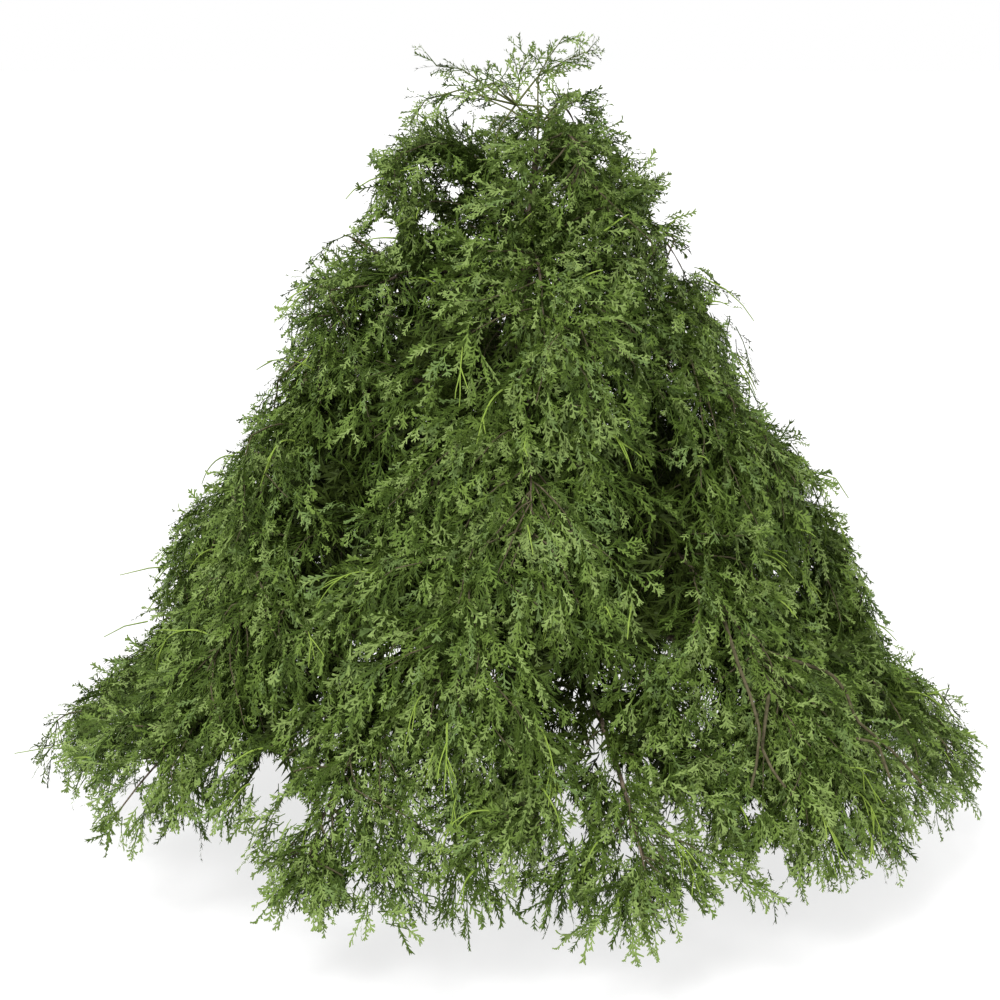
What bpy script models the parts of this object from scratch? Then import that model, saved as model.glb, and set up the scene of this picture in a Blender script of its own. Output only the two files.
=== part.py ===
"""Weeping thread-leaf cypress, a broad cone of drooping plumes on a single trunk.

Metres, +Z up. The origin is the middle of the flat cut under the trunk, at ground level.
The trunk runs whole to the foot of the leader. Each bough leaves it, arches out and ends where
its plume of foliage begins. A plume is a stem that carries on from the bough, a dense drooping
core round the stem, and twigs and toothed sprays that stand out of that core.
"""

import math
import random
from typing import NamedTuple

import bmesh
import bpy
import numpy as np
from mathutils import Matrix, Vector

SEED = 20
UP = Vector((0, 0, 1))
GAP = 0.0003  # between two pieces that touch

# Trunk
TRUNK_TOP = 2.10
TRUNK_LEAN = 0.055
TRUNK_SWAY = 0.016
TRUNK_FOOT_RADIUS = 0.058
TRUNK_TOP_RADIUS = 0.006
FLARE = 0.030  # how far the root flare stands out at the ground
FLARE_HEIGHT = 0.055
FLARE_LOBES = 5
TRUNK_SIDES = 15
TRUNK_LEVELS = 17

# Crown: a cone, whose radius shrinks by CROWN_SLOPE for each metre of height
CROWN_RADIUS = 1.47
CROWN_SLOPE = 0.51

# Boughs
BOUGH_SIDES = 5
LINE_STEPS = 24  # points along each limb's line
TURN_SPREAD = 3.5  # degrees that a bough may stand off its even place round the trunk
STAGGER_STEPS = 5  # neighbouring boughs of a tier are at least two of these steps apart
ROOT_STEP = 0.03  # the height of one step where the boughs leave the trunk
TIP_RADIUS = 0.0025

# Space round each limb that its own foliage keeps to
CELL_MARGIN = 0.016
SAMPLE_STEP = 0.02

# Plumes
CORE_RINGS = 6
CORE_SIDES = 8
CORE_RISE = 0.12  # the core's reach over its stem
CORE_FALL = 0.17  # and under it
CORE_MARGIN = 0.042  # how far the core keeps inside the limb's space
CORE_UNDER_CONE = 0.07  # and inside the cone
CORE_FULL_LENGTH = 0.75  # a plume on a shorter stem has a smaller core
CORE_ROUGHNESS = (0.84, 1.08)  # share of its full width and depth, drawn for each point
CORE_SAG = 0.30  # how far the core's edges hang, for each metre sideways
CORE_FIRST = 0.05  # share of the stem where the first ring stands
CORE_LAST = 0.94
SMALL_BULK = 0.5  # a plume smaller than this share has fewer sprays
PLUME_ROOT_WIDTH = 0.30  # shares of the plume's full width
PLUME_TIP_WIDTH = 0.15
PLUME_WIDEST = 0.57  # share of the stem where the plume is widest
NARROWEST_TURN = 0.45  # radius of the tightest circle that a plume bends round the trunk
LEVEL_HEIGHT = 1.5  # above this height the sprays hang less, up to the trunk's top
TWIG_RADIUS = 0.0045
SPRAY_LENGTH = 0.23
SPRAY_WIDTH = 0.12
SPRAY_THICK = 0.006
SPRAY_DROOP = 0.10  # how far a spray's tip hangs, for each metre of its length
SPRAY_SIZES = (1.0, 0.8, 0.62)  # tried in turn until one fits
SPRAY_SPREAD = 0.12  # a spray's size is drawn within about this share of the full one
SPRAY_STRIDE = {7: 2, 0: 1, 1: 2, 2: 2, 3: 1, 4: 2}  # by side of the core: every so many rings bear one
UPPER_SIDES = (1, 2)  # sides of the core that face up and out
EVERY_RING = 1  # a side with this stride is an edge of the plume, where twigs carry the sprays
WHIP_LENGTH = 0.15
WHIP_RADIUS = 0.0035
WHIP_EVERY = 3  # one plume in so many ends in a whip
REACH_OVER_CONE = 0.04  # how far a spray may stand out of the cone
LOWEST_LEAF = 0.15  # the skirt hangs clear of the ground

# Leader
LEADER_BEND = Vector((0.02, 0.01, 2.24))
LEADER_TIP = Vector((0.105, -0.01, 2.37))
LEADER_TWIGS = 7
GOLDEN_TURN = 137.5  # degrees from one twig of the leader to the next


class Tier(NamedTuple):
    """One ring of boughs at about the same height."""

    name: str
    turns: tuple  # azimuth of each bough, degrees from +X
    root_height: float  # where the boughs leave the trunk
    tip_radius: float
    tip_height: float
    arch: float  # how far the inner bough rises
    droop: float  # how far the outer bough hangs over its tip
    stagger: float  # the tips are spread over this much of the cone's height
    root_radius: float
    bare: float  # share of the bough that carries no foliage
    half_width: float  # half of the plume's width


def ring_of_turns(first, count):
    return tuple(first + 360 / count * i for i in range(count))


TIERS = (
    Tier("skirt", ring_of_turns(174, 10), 0.62, 1.36, 0.24, 0.18, 0.40, 0.07, 0.024, 0.38, 0.47),
    Tier("lower", ring_of_turns(161, 7), 0.98, 1.10, 0.60, 0.20, 0.42, 0.20, 0.020, 0.34, 0.46),
    Tier("middle", ring_of_turns(198, 5), 1.32, 0.86, 1.04, 0.20, 0.38, 0.20, 0.016, 0.31, 0.50),
    Tier("upper", ring_of_turns(190, 4), 1.62, 0.62, 1.47, 0.20, 0.32, 0.20, 0.013, 0.28, 0.46),
    Tier("shoulder", ring_of_turns(178, 3), 1.88, 0.39, 1.98, 0.22, 0.20, 0.10, 0.010, 0.26, 0.36),
)


class Limb(NamedTuple):
    """A line of points with a radius at each, and where along it the foliage starts."""

    name: str
    points: list
    radii: list
    bare: float
    half_width: float


def clear_scene():
    for obj in list(bpy.data.objects):
        bpy.data.objects.remove(obj)


def material(name, colour, roughness):
    made = bpy.data.materials.new(name)
    made.use_nodes = True
    shader = made.node_tree.nodes["Principled BSDF"]
    shader.inputs["Base Color"].default_value = (*colour, 1)
    shader.inputs["Roughness"].default_value = roughness
    shader.inputs["Metallic"].default_value = 0
    made.diffuse_color = (*colour, 1)
    return made


def trunk_centre(height):
    """The middle of the trunk: it leans a little towards +X and sways once on the way up."""
    share = height / TRUNK_TOP
    sway = TRUNK_SWAY * math.sin(2 * math.pi * share)
    return Vector((TRUNK_LEAN * share**1.4 + sway, -0.6 * sway, height))


def trunk_radius(height, turn=0.0):
    share = height / TRUNK_TOP
    taper = TRUNK_TOP_RADIUS + (TRUNK_FOOT_RADIUS - TRUNK_TOP_RADIUS) * (1 - share) ** 0.85
    lobes = 0.75 + 0.25 * math.cos(FLARE_LOBES * turn)
    return taper + FLARE * lobes * math.exp(-height / FLARE_HEIGHT)


def crown_radius(height):
    return CROWN_RADIUS - CROWN_SLOPE * height


def loft(rings):
    """A closed body of flat triangles through rings of equal count, capped at both ends."""
    bm = bmesh.new()
    loops = [[bm.verts.new(p) for p in ring] for ring in rings]
    for low, high in zip(loops, loops[1:]):
        for i, start in enumerate(low):
            j = (i + 1) % len(low)
            bm.faces.new((start, low[j], high[j], high[i]))
    bm.faces.new(loops[0][::-1])
    bm.faces.new(loops[-1])
    bmesh.ops.recalc_face_normals(bm, faces=bm.faces)
    bmesh.ops.triangulate(bm, faces=bm.faces)
    return bm


def object_from(bm, name):
    mesh = bpy.data.meshes.new(name)
    bm.to_mesh(mesh)
    bm.free()
    obj = bpy.data.objects.new(name, mesh)
    bpy.context.scene.collection.objects.link(obj)
    return obj


def finish(obj, finish_material, smooth_deg=35):
    obj.data.materials.clear()
    obj.data.materials.append(finish_material)
    obj.data.shade_smooth()
    obj.data.set_sharp_from_angle(angle=math.radians(smooth_deg))
    return obj


def way_at(points, i):
    """The direction of a line at one of its points."""
    return (points[min(i + 1, len(points) - 1)] - points[max(i - 1, 0)]).normalized()


def frame_at(points, i):
    """Direction, level side vector and upper normal of a limb at one of its points."""
    along = way_at(points, i)
    side = along.cross(UP).normalized()
    return along, side, side.cross(along)


def tube(points, radii, sides, picks=None):
    """A round limb along a line, with a flat end at each side. picks are the points it uses."""
    rings, side = [], Vector((0.6, 0.8, 0))
    for i in picks or range(len(points)):
        along = way_at(points, i)
        side = (side - along * side.dot(along)).normalized()
        normal = side.cross(along)
        turns = [2 * math.pi * k / sides for k in range(sides)]
        rings.append([points[i] + radii[i] * (side * math.cos(a) + normal * math.sin(a)) for a in turns])
    return loft(rings)


def trunk_body(extra=0.0):
    """The trunk. extra makes it thicker all round, for the cut at the foot of each bough."""
    rings = []
    for level in range(TRUNK_LEVELS):
        share = level / (TRUNK_LEVELS - 1)
        height = TRUNK_TOP * share**1.7
        centre = trunk_centre(height)
        ring = []
        for k in range(TRUNK_SIDES):
            turn = 2 * math.pi * k / TRUNK_SIDES
            radius = trunk_radius(height, turn) + extra
            ring.append(centre + radius * Vector((math.cos(turn), math.sin(turn), 0)))
        rings.append(ring)
    return loft(rings)


def bezier(a, b, c, d, t):
    s = 1 - t
    return a * s**3 + b * 3 * s * s * t + c * 3 * s * t * t + d * t**3


def bough_line(tier, index, rng):
    """A limb that leaves the trunk, arches out and hangs down to its tip on the cone."""
    turn = math.radians(tier.turns[index] + rng.uniform(-TURN_SPREAD, TURN_SPREAD))
    step = 2 * index % STAGGER_STEPS
    slide = tier.stagger * step / (STAGGER_STEPS - 1) + rng.uniform(-0.03, 0.03)
    tip_height = tier.tip_height + slide
    tip_radius = tier.tip_radius - CROWN_SLOPE * slide
    out = Vector((math.cos(turn), math.sin(turn), 0))
    root = trunk_centre(tier.root_height + ROOT_STEP * step)
    tip = out * tip_radius + UP * tip_height
    rise = root + out * 0.30 * tip_radius + UP * tier.arch
    fall = tip - out * 0.24 * tip_radius + UP * tier.droop
    return [bezier(root, rise, fall, tip, i / LINE_STEPS) for i in range(LINE_STEPS + 1)]


def limb_radii(root_radius, count):
    return [TIP_RADIUS + (root_radius - TIP_RADIUS) * (1 - i / (count - 1)) ** 0.8 for i in range(count)]


def leader_line():
    """The thin leader above the trunk. It starts straight up, flat on the trunk's end."""
    foot = trunk_centre(TRUNK_TOP) + UP * GAP
    start = foot + UP * 0.01
    shares = [i / 8 for i in range(9)]
    return [foot, *(start.lerp(LEADER_BEND, t).lerp(LEADER_BEND.lerp(LEADER_TIP, t), t) for t in shares)]


def plan_limbs():
    rng = random.Random(SEED)
    limbs = []
    for tier in TIERS:
        for index in range(len(tier.turns)):
            points = bough_line(tier, index, rng)
            radii = limb_radii(tier.root_radius, len(points))
            name = f"{tier.name}_{index + 1:02d}"
            limbs.append(Limb(name, points, radii, tier.bare, tier.half_width))
    return limbs


class Cells:
    """Says which points are nearer to one limb than to any other."""

    def __init__(self, lines):
        starts, steps, owner = [], [], []
        for number, points in enumerate(lines):
            for a, b in zip(points, points[1:]):
                starts.append(a)
                steps.append(b - a)
                owner.append(number)
        self.starts = np.array(starts)
        self.steps = np.array(steps)
        self.lengths = (self.steps**2).sum(axis=1)
        self.owner = np.array(owner)

    def own(self, number, point, margin=CELL_MARGIN):
        offset = np.array(point) - self.starts
        along = np.clip((offset * self.steps).sum(axis=1) / self.lengths, 0, 1)
        distance = np.linalg.norm(offset - along[:, None] * self.steps, axis=1)
        mine = distance[self.owner == number].min()
        return mine + margin < distance[self.owner != number].min()

    def line_is_own(self, number, a, b, margin=CELL_MARGIN):
        steps = max(2, math.ceil((b - a).length / SAMPLE_STEP))
        return all(self.own(number, a.lerp(b, i / steps), margin) for i in range(1, steps + 1))


def point_on(points, share):
    """Place and frame at a share of a line's points."""
    where = share * (len(points) - 1)
    i = min(int(where), len(points) - 2)
    place = points[i].lerp(points[i + 1], where - i)
    return (place, *frame_at(points, round(where)))


def plume_profile(share):
    """Width of a plume along its stem: narrow at its root, full past the middle, blunt at its tip."""
    if share < PLUME_WIDEST:
        swell = math.sin(math.pi / 2 * (share / PLUME_WIDEST) ** 1.25)
        return PLUME_ROOT_WIDTH + (1 - PLUME_ROOT_WIDTH) * swell
    beyond = (share - PLUME_WIDEST) / (1 - PLUME_WIDEST)
    return 1 - (1 - PLUME_TIP_WIDTH) * beyond**1.4


def plume_bulk(stem):
    """The size of a plume's core and sprays against those of a full one."""
    return min(1.0, (stem[-1] - stem[0]).length / CORE_FULL_LENGTH)


def hang(place):
    """The way sprays hang: outward and down over the cone, and level or upward near the top."""
    out = Vector((place.x, place.y, 0))
    out = out.normalized() if out.length > 0.02 else Vector((0, -1, 0))
    lift = -0.75 + 0.85 * max(0.0, (place.z - LEVEL_HEIGHT) / (TRUNK_TOP - LEVEL_HEIGHT))
    return (out * 0.8 + UP * lift).normalized()


def crown_normal(place):
    """The way the cone's surface faces at a place."""
    return Vector((place.x, place.y, CROWN_SLOPE * math.hypot(place.x, place.y))).normalized()


def round_trunk(place, sideways):
    """The point reached from a place by going sideways on a level circle round the trunk."""
    radius = max(math.hypot(place.x, place.y), NARROWEST_TURN)
    return Matrix.Rotation(sideways / radius, 3, "Z") @ place


def core_share(level):
    """Where along the stem a ring of the core stands."""
    return CORE_FIRST + (CORE_LAST - CORE_FIRST) * level / (CORE_RINGS - 1)


def core_point(limb, number, stem, share, turn, cells, rng):
    """A point of the core's skin, drawn in until it lies well inside the limb's own space."""
    place, _, _, normal = point_on(stem, share)
    bulk = plume_bulk(stem)
    width = bulk * limb.half_width * plume_profile(share)
    depth = bulk * (CORE_RISE if turn < math.pi else CORE_FALL) * (1 - 0.5 * share**3)
    rough = rng.uniform(*CORE_ROUGHNESS)
    while True:
        sideways = width * math.cos(turn) * rough
        point = round_trunk(place, sideways)
        point += normal * (depth * math.sin(turn) * rough - CORE_SAG * abs(sideways))
        inside = crown_radius(point.z) - math.hypot(point.x, point.y) > CORE_UNDER_CONE
        clear = inside and point.z > LOWEST_LEAF + CORE_MARGIN
        if clear and cells.line_is_own(number, place, point, CORE_MARGIN) or rough < 0.08:
            return point
        rough *= 0.90


def core_rings(limb, number, stem, cells, rng):
    """Rings of the dense inner foliage: a thick shingle over and under the stem."""
    turns = [2 * math.pi * (k + 0.5) / CORE_SIDES for k in range(CORE_SIDES)]
    return [
        [core_point(limb, number, stem, core_share(level), turn, cells, rng) for turn in turns]
        for level in range(CORE_RINGS)
    ]


def spray_outline(length, width):
    """A blade with two teeth a side, as (along, across) points from its root round and back."""
    right = [(0.36 * length, 0.50 * width), (0.46 * length, 0.24 * width), (0.76 * length, 0.32 * width)]
    left = [(x, -y) for x, y in reversed(right)]
    return [(0.0, 0.0), *right, (length, 0.0), *left]


def spray_body(root, along, face, length, width):
    """A spray of fine leaves as one toothed blade, thick in its middle and thin at its rim."""
    along = along.normalized()
    across = along.cross(face).normalized()
    face = across.cross(along)
    bm = bmesh.new()
    rim = []
    for x, y in spray_outline(length, width):
        droop = -SPRAY_DROOP * length * (x / length) ** 2
        rim.append(bm.verts.new(root + along * x + across * y + face * droop))
    middle = root + along * 0.42 * length
    top = bm.verts.new(middle + face * 0.5 * SPRAY_THICK)
    bottom = bm.verts.new(middle - face * 0.5 * SPRAY_THICK)
    for i, start in enumerate(rim):
        end = rim[(i + 1) % len(rim)]
        bm.faces.new((start, end, top))
        bm.faces.new((end, start, bottom))
    bmesh.ops.recalc_face_normals(bm, faces=bm.faces)
    return bm


def spray_is_clear(cells, number, root, along, face, length, width):
    """Whether a spray, all along its rib and out to its teeth, stays in the limb's cell."""
    along = along.normalized()
    across = along.cross(face).normalized()
    for x, y in spray_outline(length, width):
        place = root + along * x + across * y
        over = math.hypot(place.x, place.y) - crown_radius(place.z)
        if place.z < LOWEST_LEAF or over > REACH_OVER_CONE or not cells.own(number, place):
            return False
    return cells.line_is_own(number, root, root + along * length)


class Plume:
    """Gathers the bodies of one mass, each tested against the limb's cell."""

    def __init__(self, number, cells, rng):
        self.number = number
        self.cells = cells
        self.rng = rng
        self.bodies = []

    def add_spray(self, root, along, face, scale=1.0):
        """Adds the largest spray that fits at the root, and says whether any did."""
        length = SPRAY_LENGTH * scale * self.rng.uniform(1 - SPRAY_SPREAD, 1 + SPRAY_SPREAD)
        width = SPRAY_WIDTH * scale * self.rng.uniform(1 - SPRAY_SPREAD, 1 + SPRAY_SPREAD)
        for shrink in SPRAY_SIZES:
            size = (length * shrink, width * shrink)
            if spray_is_clear(self.cells, self.number, root, along, face, *size):
                self.bodies.append(spray_body(root, along, face, *size))
                return True
        return False

    def twig_tip(self, start, end):
        """How far towards its end a twig can grow inside the limb's space, or None."""
        reach = 1.0
        while reach > 0.3:
            tip = start.lerp(end, reach)
            if tip.z > LOWEST_LEAF and self.cells.line_is_own(self.number, start, tip):
                return tip
            reach -= 0.08
        return None

    def add_twig(self, start, tip, sag=0.0, radius=TWIG_RADIUS):
        """A three-sided twig."""
        middle = start.lerp(tip, 0.5) + UP * sag
        self.bodies.append(tube([start, middle, tip], [radius, 0.8 * radius, 0.5 * radius], 3))

    def add_whip(self, start, way):
        """A bare thread that arches past the tip of its plume."""
        tip = self.twig_tip(start, start + way.normalized() * WHIP_LENGTH)
        if tip is not None:
            self.add_twig(start, tip, sag=0.02, radius=WHIP_RADIUS)


def grow_plume(limb, number, cells, rng):
    """All bodies of the foliage on one bough."""
    first = bough_end(limb)
    stem = limb.points[first:]
    picks = [*range(first, LINE_STEPS, 4), LINE_STEPS]
    plume = Plume(number, cells, rng)
    plume.bodies.append(tube(limb.points, limb.radii, 3, picks))
    rings = core_rings(limb, number, stem, cells, rng)
    plume.bodies.append(loft(rings))
    bulk = plume_bulk(stem)
    for level, ring in enumerate(rings):
        place = point_on(stem, core_share(level))[0]
        last = level == CORE_RINGS - 1
        for k, stride in SPRAY_STRIDE.items():
            if (level + k) % (stride + (bulk < SMALL_BULK)) and not last:
                continue
            away = (ring[k] - place).normalized()
            way = away * (0.30 if k in UPPER_SIDES else 0.55) + hang(ring[k]) * 0.85
            on_twig = stride == EVERY_RING and 0 < level and not last
            tip = plume.twig_tip(place, ring[k] + way * 0.05) if on_twig else None
            root = place.lerp(ring[k], 0.88) if tip is None else tip.lerp(place, 0.06)
            if plume.add_spray(root, way, crown_normal(ring[k]), 0.55 + 0.45 * bulk) and tip is not None:
                plume.add_twig(place, tip)
    out = crown_normal(stem[-1])
    plume.add_spray(stem[-1] - out * 0.03, out + hang(stem[-1]), out, 1.15)
    if number % WHIP_EVERY == 0:
        plume.add_whip(stem[-1], out * 0.9 + hang(stem[-1]))
    return plume.bodies


def joined(bodies, name):
    """One closed solid from overlapping bodies."""
    parts = [object_from(body, f"{name}_piece") for body in bodies]
    base, others = parts[0], bpy.data.collections.new(f"{name}_pieces")
    for part in parts[1:]:
        others.objects.link(part)
    union = base.modifiers.new("union", "BOOLEAN")
    union.operation = "UNION"
    union.operand_type = "COLLECTION"
    union.collection = others
    for solver in ("EXACT", "MANIFOLD"):
        union.solver = solver
        bm = evaluated_bmesh(base)
        keep_largest_shell(bm)
        if all(len(edge.link_faces) == 2 for edge in bm.edges):
            break
    for part in parts:
        bpy.data.objects.remove(part)
    bpy.data.collections.remove(others)
    return object_from(bm, name)


def evaluated_bmesh(obj):
    """The object's mesh in triangles, with its modifiers applied."""
    graph = bpy.context.evaluated_depsgraph_get()
    mesh = bpy.data.meshes.new_from_object(obj.evaluated_get(graph))
    bm = bmesh.new()
    bm.from_mesh(mesh)
    bpy.data.meshes.remove(mesh)
    bmesh.ops.triangulate(bm, faces=bm.faces)
    return bm


def keep_largest_shell(bm):
    """Drops loose scraps, and the inner shells that seal a hollow."""
    waiting, shells = set(bm.verts), []
    while waiting:
        shell, edge_of_shell = set(), [waiting.pop()]
        while edge_of_shell:
            vert = edge_of_shell.pop()
            shell.add(vert)
            for edge in vert.link_edges:
                other = edge.other_vert(vert)
                if other in waiting:
                    waiting.remove(other)
                    edge_of_shell.append(other)
        shells.append(shell)
    largest = max(shells, key=len)
    bmesh.ops.delete(bm, geom=[v for v in bm.verts if v not in largest], context="VERTS")


def bough_end(limb):
    """The point of the limb's line where the bough ends and its plume begins."""
    return round(limb.bare * LINE_STEPS)


def build_bough(limb, bark):
    last = bough_end(limb)
    points = list(limb.points)
    points[last] = points[last] - frame_at(points, last)[0] * GAP
    picks = [*range(0, last, 2), last]
    bough = object_from(tube(points, limb.radii, BOUGH_SIDES, picks), "bough")
    cutter = object_from(trunk_body(GAP), "trunk_cutter")
    cut = bough.modifiers.new("foot", "BOOLEAN")
    cut.operation = "DIFFERENCE"
    cut.solver = "EXACT"
    cut.object = cutter
    bm = evaluated_bmesh(bough)
    bpy.data.objects.remove(cutter)
    bpy.data.objects.remove(bough)
    keep_largest_shell(bm)
    finish(object_from(bm, f"bough_{limb.name}"), bark)


def grow_leader(number, line, cells, rng):
    """The open top: a thin leader with a few long twigs, each ending in a spray."""
    way = (line[1] - line[0]).normalized()
    plume = Plume(number, cells, rng)
    radii = [TRUNK_TOP_RADIUS * (1 - 0.06 * i) for i in range(len(line))]
    plume.bodies.append(tube(line, radii, 5))
    for i in range(LEADER_TWIGS):
        share = 0.22 + 0.62 * i / (LEADER_TWIGS - 1)
        place, along, _, _ = point_on(line, share)
        turn = math.radians(25 + GOLDEN_TURN * i)
        out = Vector((math.cos(turn), math.sin(turn), 0))
        tip = plume.twig_tip(place, place + out * (0.17 - 0.09 * share) + along * 0.05)
        if tip is not None and plume.add_spray(tip - out * 0.01, out + UP * 0.25, UP + out * 0.2, 0.60):
            plume.add_twig(place, tip, sag=0.01)
    plume.add_spray(line[-1] - way * 0.075, Vector((0.25, 0, 1)), Vector((0, -1, 0.1)), 0.55)
    return plume.bodies


def main():
    clear_scene()
    bark = material("bark", (0.16, 0.105, 0.08), 0.85)
    needles = material("needles", (0.075, 0.125, 0.03), 0.6)
    finish(object_from(trunk_body(), "trunk"), bark)
    limbs = plan_limbs()
    leader = leader_line()
    trunk_line = [trunk_centre(TRUNK_TOP * i / 20) for i in range(21)]
    cells = Cells([*(limb.points for limb in limbs), leader, trunk_line])
    rng = random.Random(SEED + 1)
    for number, limb in enumerate(limbs):
        build_bough(limb, bark)
        bodies = grow_plume(limb, number, cells, rng)
        finish(joined(bodies, f"foliage_{limb.name}"), needles, 20)
    bodies = grow_leader(len(limbs), leader, cells, rng)
    finish(joined(bodies, "foliage_leader"), needles, 20)


main()
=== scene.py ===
"""The looks of the weeping thread-leaf cypress.

The limbs are planned by the same rule and seed as in the part's source. Branches, fronds and
branchlets then grow on from them, level by level, inside the crown and each limb's own space.
Each level is grown as one array of lines, step by step, bending down as it goes.
"""

import math
import random
from typing import NamedTuple

import bmesh
import bpy
import numpy as np
from mathutils import Matrix, Vector, noise

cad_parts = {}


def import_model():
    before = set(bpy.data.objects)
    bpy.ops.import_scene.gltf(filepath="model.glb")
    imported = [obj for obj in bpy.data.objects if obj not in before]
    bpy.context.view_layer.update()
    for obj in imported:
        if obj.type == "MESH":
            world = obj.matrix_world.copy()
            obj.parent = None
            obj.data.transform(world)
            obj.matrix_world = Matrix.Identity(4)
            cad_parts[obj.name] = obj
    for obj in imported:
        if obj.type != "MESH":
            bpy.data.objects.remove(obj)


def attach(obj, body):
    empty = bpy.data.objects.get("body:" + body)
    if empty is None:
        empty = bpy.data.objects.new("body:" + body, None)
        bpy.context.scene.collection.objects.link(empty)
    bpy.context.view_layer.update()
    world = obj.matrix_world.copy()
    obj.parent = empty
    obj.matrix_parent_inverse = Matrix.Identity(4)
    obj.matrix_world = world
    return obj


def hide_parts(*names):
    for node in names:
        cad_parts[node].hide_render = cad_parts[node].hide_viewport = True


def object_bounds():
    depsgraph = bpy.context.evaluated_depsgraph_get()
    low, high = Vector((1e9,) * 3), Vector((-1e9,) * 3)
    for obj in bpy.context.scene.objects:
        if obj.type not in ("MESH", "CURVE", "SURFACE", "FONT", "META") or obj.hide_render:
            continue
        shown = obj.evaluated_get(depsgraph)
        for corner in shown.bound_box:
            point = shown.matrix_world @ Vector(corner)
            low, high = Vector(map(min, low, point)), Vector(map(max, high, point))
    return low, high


SEED = 20
GOLDEN_TURN = 137.5  # degrees from one twig to the next round what bears them
UP = Vector((0, 0, 1))
UPWARD = np.array((0.0, 0.0, 1.0))

# Trunk
TRUNK_TOP = 2.10
TRUNK_LEAN = 0.055
TRUNK_SWAY = 0.016
TRUNK_FOOT_RADIUS = 0.058
TRUNK_TOP_RADIUS = 0.006
FLARE = 0.030
FLARE_HEIGHT = 0.055
FLARE_LOBES = 5
TRUNK_SIDES = 40
TRUNK_LEVELS = 130

# Skin of the crown: a cone whose radius shrinks by SKIN_SLOPE for each metre, with ledges and tufts
SKIN_RADIUS = 1.495
SKIN_SLOPE = 0.565
CROWN_MIDDLE = -0.025
LEDGE = 0.055
LEDGE_HEIGHT = 0.1375
LEDGE_SPACING = 0.73
TUFT = 0.035
TUFT_HEIGHT = 0.23
TUFTS_ROUND = 15
# Dents in it: turn and its spread in degrees, height and its spread, and depth
DENTS = (
    (180, 70, 1.92, 0.09, 0.15), (0, 60, 1.80, 0.11, 0.09), (0, 40, 1.03, 0.08, 0.06),
    (195, 40, 1.22, 0.10, 0.04),
)

# Boughs
CROWN_SLOPE = 0.51  # how much further in a bough's tip is set for each metre that it is raised
BOUGH_SIDES = 12
LINE_STEPS = 24
TURN_SPREAD = 3.5
STAGGER_STEPS = 5
ROOT_STEP = 0.03
TIP_RADIUS = 0.0025
SLIMMER = 0.45  # share of its radius that a bough loses past its bare part
SLIMMER_SPAN = 0.15  # over this share of its length
SHOULDER_RADIUS = 0.6  # share that the topmost boughs keep

# Space that the foliage keeps to
REACH = (-0.05, 0.035)  # how far beyond the cone a line may stand, line by line
BOX_MARGIN = 0.04  # and beyond the box of the solids
LEAF_MARGIN = (0.093, 0.091, 0.012)
CEILING = (2.00, 2.25)  # height to which all but the leader grows
TOP_LIFT = 0.75  # share of their bend that twigs lose at the top, which spreads instead of hanging
LIFT_RAMP = (1.4, 0.6)  # from this height on, over this span
LOWEST_LEAF = (0.21, 0.29)
FRINGE_NOTCH = 0.08  # rise of the skirt's fringe for each metre away from its bough
# Where the fringe hangs less low, or lower: turn, width and rise
FRINGE_RISES = (
    (206, 13, 0.11), (231, 9, 0.22), (245, 8, 0.07), (266, 9, -0.15), (277, 7, -0.11),
    (291, 8, 0.10), (312, 10, 0.06), (331, 8, -0.07),
)
FRINGE_LOBES = ((23, 0.03), (41, 0.025))  # waves of the fringe round the skirt, and their height
CELL_OVERLAP = 0.32  # how much nearer to another limb than to its own a twig may grow

# Twigs, level by level
STEM_STEP = 0.030
BRANCH_STEP = 0.036
FROND_STEP = 0.018
WHIP_STEP = 0.018
WHIPS = 170
LEADER_STEP = 0.013
SHOOT_HEIGHTS = (0.70, 1.90)
SHOOT_SPACING = 0.010
# More shoots where the crown would stay open between two boughs: turn, and the heights they leave at
SHOOT_SEAMS = (
    (235, 1.10, 1.55), (291, 0.80, 1.20), (264, 0.65, 0.85), (271, 0.60, 0.72),
    (336, 0.65, 0.85), (12, 0.65, 0.85),
)
SEAM_SHOOTS = 18
SEAM_SPREAD = 6
FRINGE_TOP = 0.44
ANY = math.inf
# Places, from their low to their high corner, where fronds hang twice as thick
FRONT_FRINGE = ((-ANY, -ANY, -ANY), (ANY, -0.9, FRINGE_TOP))
RIGHT_FLANK = ((0.5, -ANY, FRINGE_TOP), (ANY, ANY, 0.80))
FRONT_MIDDLE = ((-0.17, -ANY, -ANY), (0.13, -0.7, 0.60))  # and here two more times
FRONT_STEMS = ((-ANY, -ANY, -ANY), (ANY, -0.7, 0.8))  # stems that are covered twice
BACK_PART = 0.25  # share of a bough's bare part past which its back is covered
BACK_HEIGHTS = (1.5, 1.9)  # above these the backs are covered twice, and three times
CROWN_TOP = 1.9  # above this fronds cover the limbs all round
BACK_TURNS, TOP_TURNS = (30, 150), (-70, 250)  # turns of the covering fronds, in degrees
TOP_BRANCHES = 1.84  # height above which branches bear rising fronds
HEART_DEPTH = 0.24  # half of the fronds this far under the crown's skin are left out
SHADE_DEPTH = 0.10  # deeper than this, and on this share of a frond, stands half of the branchlets
BARE_ROOT = 0.45
OPEN_TOP = 0.25  # share of the branchlets that the top does without
OPEN_RAMP = (1.7, 0.2)  # from this height on, over this span
LEADER_FOOT = 2.12
LEADER_FRONDS = 0.48  # share of the leader's twigs past which fronds stand
LEADER_SPRAYS = 0.52
BRANCHLET = 0.062
COARSE_BRANCHLET = 0.095
HANG_HEIGHTS, HANG = (1.6, 1.9), (0.52, 0.15)  # how far branchlets hang, by height
SPREAD = 0.45  # and how far they stand out from the trunk
PIECE_TRIANGLES = 190_000
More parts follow.
